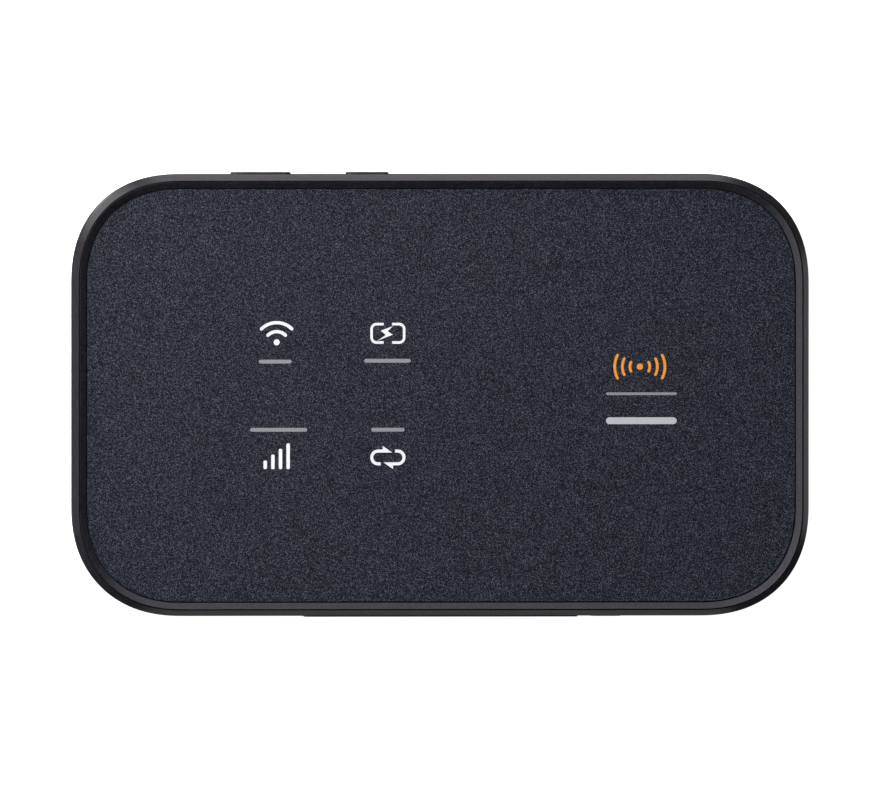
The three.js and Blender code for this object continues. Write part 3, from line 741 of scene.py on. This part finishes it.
def battery_icon(grow):
    """Two halves of a rounded outline, open in the middle above and below, and a bolt."""
    width, height, radius, stroke, gap = 4.57, 2.7, 0.8, 0.29, 1.14
    x, y = width / 2 + grow, height / 2 + grow
    outer, inner = radius + grow, radius - stroke - grow
    x_in, y_in, edge = x - stroke - 2 * grow, y - stroke - 2 * grow, gap / 2 - grow
    right = [(edge, -y)]
    right += arc(x - outer, -y + outer, outer, -90, 0, 10)
    right += arc(x - outer, y - outer, outer, 0, 90, 10)
    right += [(edge, y), (edge, y_in)]
    right += arc(x_in - inner, y_in - inner, inner, 90, 0, 10)
    right += arc(x_in - inner, -y_in + inner, inner, 0, -90, 10)
    right += [(edge, -y_in)]
    left = [(-px, -py) for px, py in right]
    bolt = [(0.58, 0.88), (-0.89, 0.34), (-0.22, -0.22), (-1.22, -0.89), (0.59, -0.18), (-0.09, 0.26)]
    return [right, left, grown(bolt, grow)]


def signal_icon(grow):
    foot, bar_width, pitch = -1.5, 0.42, 1.0
    bars = []
    for number, height in enumerate((1.1, 1.87, 2.62, 3.34)):
        x = (number - 1.5) * pitch
        size = (bar_width + 2 * grow, height + 2 * grow)
        bars.append(rounded_rectangle(x, foot + height / 2, *size, 0.2, steps=5))
    return bars


def data_icon(grow):
    """Two half loops that chase each other, each ending in half an arrowhead."""
    radius, loop_x, stroke = 0.84, -1.28, 0.345
    half, foot = stroke / 2 + grow, radius - stroke / 2
    upper = [(-0.96 + grow, -radius - half), (-0.96 + grow, -radius + half)]
    upper += arc(loop_x, 0, radius - half, 270, 90, 20)
    nose = grown([(-0.74, foot), (0.5, foot), (-0.66, 1.46)], grow)
    upper += [nose[1], nose[2], (nose[2][0], radius + half)]
    upper += arc(loop_x, 0, radius + half, 90, 270, 20)
    lower = [(-x, -y) for x, y in upper]
    return [upper, lower]


ICON_STROKES = {"wifi": wifi_icon, "battery": battery_icon, "signal": signal_icon, "data": data_icon}


def icon_prisms(name, z0, z1, grow):
    cx, cy = ICONS[name]
    prisms = []
    for number, outline in enumerate(ICON_STROKES[name](grow)):
        placed = [(x + cx, y + cy) for x, y in outline]
        prisms.append(prism(f"{name}_stroke_{number}", placed, z0, z1))
    return prisms


def front_panel():
    levels = [
        (PANEL_INSET, PANEL_LOW.z),
        (PANEL_INSET, PANEL_HIGH.z - PANEL_EDGE),
        (PANEL_INSET + PANEL_EDGE, PANEL_HIGH.z),
    ]
    panel = loft("front_panel_film", levels)
    windows = []
    for name in ICONS:
        windows += icon_prisms(name, PANEL_LOW.z - PAST, PANEL_HIGH.z + PAST, ICON_PLAY)
    combine(panel, windows, "DIFFERENCE")
    crisp(panel)
    finish_piece(panel, "front_panel")


def light_guide(name):
    node = f"light_guide_{name}"
    low, high = box_mm(node)
    middle, size = middle_and_size(node)
    outline = rounded_rectangle(middle.x, middle.y, size.x, size.y, GUIDE_CORNER)
    guide = prism(f"{node}_moulding", outline, low.z, GUIDE_TOP)
    combine(guide, icon_prisms(name, GUIDE_TOP - BITE, high.z, 0), "UNION")
    crisp(guide)
    finish_piece(guide, node)


# Keys, trim, plug and socket ----------------------------------------------------------------------


def side_key(name):
    node = f"{name}_key"
    low, high = box_mm(node)
    middle, size = middle_and_size(node)
    flange_front = low.y + KEY_FLANGE_THICKNESS
    cap_size = (size.x - KEY_FLANGE[0], size.z - KEY_FLANGE[1])
    cap_outline = rounded_rectangle(middle.x, middle.z, *cap_size, KEY_CORNER, 12)
    flange_outline = rounded_rectangle(middle.x, middle.z, size.x, size.z, FLANGE_CORNER)
    cap = upright_prism(f"{name}_key_cap", cap_outline, flange_front - BITE, high.y)
    flange = upright_prism("flange", flange_outline, low.y, flange_front)
    combine(cap, [flange], "UNION")
    soften(cap, 0.16, 4)
    finish_piece(cap, node)


def port_trim():
    low, high = box_mm("port_trim")
    middle, size = middle_and_size("port_trim")
    outline = rounded_rectangle(middle.x, middle.z, size.x, size.z, TRIM_CORNER)
    strip = upright_prism("port_trim_strip", outline, low.y, high.y)
    y0, y1 = low.y - PAST, high.y + PAST
    opening = side_opening("opening", "usb_shell", TRIM_PLAY, USB_WINDOW_CORNER, y0, y1)
    combine(strip, [opening], "DIFFERENCE")
    soften(strip, 0.12, 3)
    finish_piece(strip, "port_trim")


def antenna_plug():
    low, high = box_mm("antenna_plug")
    middle, size = middle_and_size("antenna_plug")
    outline = rounded_rectangle(middle.x, middle.z, size.x, size.z, PLUG_CORNER, 12)
    cap = upright_prism("antenna_plug_cap", outline, low.y, -HALF_Y + PLUG_DEPTH)
    stub_outline = circle(middle.x, middle.z, STUB_RADIUS, 36)
    stub = upright_prism("stub", stub_outline, -HALF_Y + PLUG_DEPTH / 2, high.y)
    combine(cap, [stub], "UNION")
    soften(cap, 0.14, 3)
    finish_piece(cap, "antenna_plug")


def usb_shell():
    low, high = box_mm("usb_shell")
    middle, size = middle_and_size("usb_shell")
    inner_size = (size.x - 2 * USB_WALL, size.z - 2 * USB_WALL)
    outer = rounded_rectangle(middle.x, middle.z, size.x, size.z, USB_CORNER)
    inner = rounded_rectangle(middle.x, middle.z, *inner_size, USB_INNER_CORNER)
    shell = upright_prism("usb_socket_shell", outer, low.y, high.y)
    inside = upright_prism("inside", inner, low.y - PAST, high.y - USB_WALL)
    combine(shell, [inside], "DIFFERENCE")
    soften(shell, 0.05)
    finish_piece(shell, "usb_shell")


# Printed marks ------------------------------------------------------------------------------------

INK_HEIGHT = 0.015
INK_GREY = printed_ink("grey_ink", srgb(150, 152, 156))
INK_PALE = printed_ink("pale_ink", srgb(200, 202, 205))
INK_ORANGE = printed_ink("orange_ink", srgb(238, 152, 58), 0.2)

# Blank bars where words would stand: the middle, the length and the height of each one
BARS = {
    "bar_wifi": ((-21.8, 4.45), 4.3, 0.5, INK_GREY),
    "bar_battery": ((-7.05, 4.55), 6.1, 0.5, INK_GREY),
    "bar_signal": ((-21.35, -4.5), 7.5, 0.5, INK_GREY),
    "bar_data": ((-7.0, -4.5), 4.4, 0.5, INK_GREY),
    "bar_thin": ((26.3, 0.2), 9.3, 0.35, INK_GREY),
    "bar_bold": ((26.3, -3.35), 9.3, 0.9, INK_PALE),
}


def ink(name, outlines, material):
    """Printed shapes on the panel, as one very thin piece."""
    base = PANEL_HIGH.z

    def build(shape):
        for outline in outlines:
            add_loops(shape, [[(x, y, z) for x, y in outline] for z in (base, base + INK_HEIGHT)])

    piece = new_object(name, build)
    crisp(piece)
    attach(piece, "main_unit")
    piece.data.materials.append(material)


def radio_waves():
    """A dot between pairs of arcs."""
    cx, cy, stroke = 26.1, 3.75, 0.36
    shapes = [circle(cx, cy, 0.42, 24)]
    for radius in (1.3, 2.3, 3.3):
        for facing in (0, 180):
            shapes.append(arc_stroke(cx, cy, radius, facing - 27, facing + 27, stroke))
    return shapes


def printed_marks():
    for name, ((cx, cy), length, height, material) in BARS.items():
        ink(name, [rounded_rectangle(cx, cy, length, height, height / 2)], material)
    ink("radio_waves", radio_waves(), INK_ORANGE)


# Pieces -------------------------------------------------------------------------------------------

front_housing()
bezel_ring()
back_cover()
front_panel()
for icon_name in ICONS:
    light_guide(icon_name)
for key_name in KEY_NAMES:
    side_key(key_name)
port_trim()
antenna_plug()
usb_shell()
printed_marks()

# The width that each other piece's edges are rounded by
ROUNDED = {
    "mid_frame": 0.12,
    "battery_cell": 0.5,
    "battery_end_cap": 0.1,
    "battery_connector": 0.06,
    "sim_holder": 0.05,
    "sim_card": 0.1,
    "usb_tongue": 0.08,
    "bay_label": 0.02,
}
ROUNDED.update({f"screw_{number}": 0.08 for number in range(1, SCREW_COUNT + 1)})
for node_name, edge_width in ROUNDED.items():
    refined(node_name, edge_width)

for node_name, node in NODES.items():
    dress(node, node_name)


# Floor, lights and camera -------------------------------------------------------------------------

# The floor lies a little below the device's flat back
FLOOR_DROP = 0.1
FLOOR_SIZE = 20000

# Brightness of the dome that the device sees, at the horizon and overhead
DOME_LOW = 0.01
DOME_HIGH = 0.18


def make_floor():
    """A pale plane that glows a little, hidden from below and from the device's gloss."""

    def build(shape):
        bmesh.ops.create_grid(shape, x_segments=8, y_segments=8, size=FLOOR_SIZE)
        bmesh.ops.translate(shape, vec=(0, 0, -FLOOR_DROP), verts=shape.verts)

    floor = new_object("floor", build)
    if floor.data.polygons[0].normal.z < 0:
        floor.data.flip_normals()
    n = Nodes("pale_floor")
    grain = n.noise(40.0, detail=2.0)
    tone = n.ramp(grain, [(0.3, (0.86, 0.86, 0.86)), (0.7, (0.88, 0.88, 0.88))])
    n.link(tone, n.shader.inputs["Base Color"])
    n.link(tone, n.shader.inputs["Emission Color"])
    n.set(Roughness=0.9, Specular_IOR_Level=0.1, Emission_Strength=1.1)
    side = n.tree.nodes.new("ShaderNodeNewGeometry")
    clear = n.tree.nodes.new("ShaderNodeBsdfTransparent")
    mix = n.tree.nodes.new("ShaderNodeMixShader")
    n.link(side.outputs["Backfacing"], mix.inputs["Fac"])
    n.link(n.shader.outputs["BSDF"], mix.inputs[1])
    n.link(clear.outputs["BSDF"], mix.inputs[2])
    n.link(mix.outputs["Shader"], n.output.inputs["Surface"])
    floor.data.materials.append(n.material)
    floor.visible_glossy = False


def area_light(name, place, away, size, power):
    """A light that the camera can't see, at a place in metres, shining against away."""
    data = bpy.data.lights.new(name, "AREA")
    data.shape = "RECTANGLE"
    data.size, data.size_y = size
    data.energy = power
    light = bpy.data.objects.new(name, data)
    light.location = place
    light.rotation_euler = away.to_track_quat("Z", "Y").to_euler()
    light.visible_camera = False
    bpy.context.scene.collection.objects.link(light)


# Soft boxes that face the device: azimuth from +X towards +Y, elevation, distance, size and power,
# in degrees and metres
SOFT_BOXES = {
    "key_upper_left": (135, 48, 0.32, (0.16, 0.16), 0.8),
    "low_left": (180, 12, 0.4, (0.7, 0.12), 0.7),
    "low_back": (90, 12, 0.4, (0.7, 0.12), 0.63),
}

# Glowing cards that lie on the floor round the device: middle, size and power, in millimetres
CARD_LIFT = 0.5
CARDS = {
    "card_corner": ((-70, 51), (50, 50), 0.0093),
    "card_back": ((0, 61), (80, 56), 0.011),
    "card_left": ((-80, 0), (56, 40), 0.001),
    "card_right": ((80, 0), (60, 40), 0.003),
    "card_front": ((0, -61), (80, 60), 0.004),
}


def soft_box(name, azimuth, elevation, distance, size, power):
    turn, rise = math.radians(azimuth), math.radians(elevation)
    level = math.cos(rise)
    away = Vector((math.cos(turn) * level, math.sin(turn) * level, math.sin(rise)))
    target = Vector((0, 0, THICKNESS * MM))
    area_light(name, target + away * distance, away, size, power)


def card(name, middle, size, power):
    place = Vector((*middle, CARD_LIFT)) * MM
    area_light(name, place, Vector((0, 0, -1)), tuple(side * MM for side in size), power)


def make_world():
    """A white surround for the camera. The device sees a dim dome, dark below the horizon."""
    world = bpy.data.worlds.new("studio")
    world.use_nodes = True
    tree = world.node_tree
    dome = tree.nodes["Background"]
    dome.inputs["Color"].default_value = (0.92, 0.95, 1.0, 1)
    place = tree.nodes.new("ShaderNodeTexCoord")
    axes = tree.nodes.new("ShaderNodeSeparateXYZ")
    height = tree.nodes.new("ShaderNodeMapRange")
    height.inputs["From Min"].default_value = 0.0
    height.inputs["From Max"].default_value = 0.5
    height.inputs["To Min"].default_value = DOME_LOW
    height.inputs["To Max"].default_value = DOME_HIGH
    white = tree.nodes.new("ShaderNodeBackground")
    ray = tree.nodes.new("ShaderNodeLightPath")
    mix = tree.nodes.new("ShaderNodeMixShader")
    tree.links.new(place.outputs["Generated"], axes.inputs["Vector"])
    tree.links.new(axes.outputs["Z"], height.inputs["Value"])
    tree.links.new(height.outputs["Result"], dome.inputs["Strength"])
    tree.links.new(ray.outputs["Is Camera Ray"], mix.inputs["Fac"])
    tree.links.new(dome.outputs["Background"], mix.inputs[1])
    tree.links.new(white.outputs["Background"], mix.inputs[2])
    tree.links.new(mix.outputs["Shader"], tree.nodes["World Output"].inputs["Surface"])
    white.inputs["Color"].default_value = (1, 1, 1, 1)
    bpy.context.scene.world = world


def make_lights():
    for name, settings in SOFT_BOXES.items():
        soft_box(name, *settings)
    for name, settings in CARDS.items():
        card(name, *settings)
    make_world()


# The camera: how wide it sees at the point it aims at, its distance in metres, and its lean in
# degrees from straight above
VIEW_WIDTH = 115.67
CAMERA_DISTANCE = 4.0
TILT_LEFT = 2.15
TILT_UP = 1.2
AIM = Vector((0.05, 0.13, 6.5))
SENSOR_WIDTH = 36.0


def make_camera():
    data = bpy.data.cameras.new("camera")
    data.sensor_fit = "HORIZONTAL"
    data.sensor_width = SENSOR_WIDTH
    data.lens = SENSOR_WIDTH * CAMERA_DISTANCE / (VIEW_WIDTH * MM)
    data.clip_start = 0.05
    data.clip_end = 60
    camera = bpy.data.objects.new("camera", data)
    left, upwards = math.tan(math.radians(TILT_LEFT)), math.tan(math.radians(TILT_UP))
    back = Vector((-left, upwards, 1)).normalized()
    right = Vector((0, 1, 0)).cross(back).normalized()
    up = back.cross(right)
    turn = Matrix((right, up, back)).transposed().to_4x4()
    camera.matrix_world = Matrix.Translation(AIM * MM + back * CAMERA_DISTANCE) @ turn
    bpy.context.scene.collection.objects.link(camera)
    bpy.context.scene.camera = camera


make_floor()
make_lights()
make_camera()
bpy.context.scene.view_settings.view_transform = "Standard"
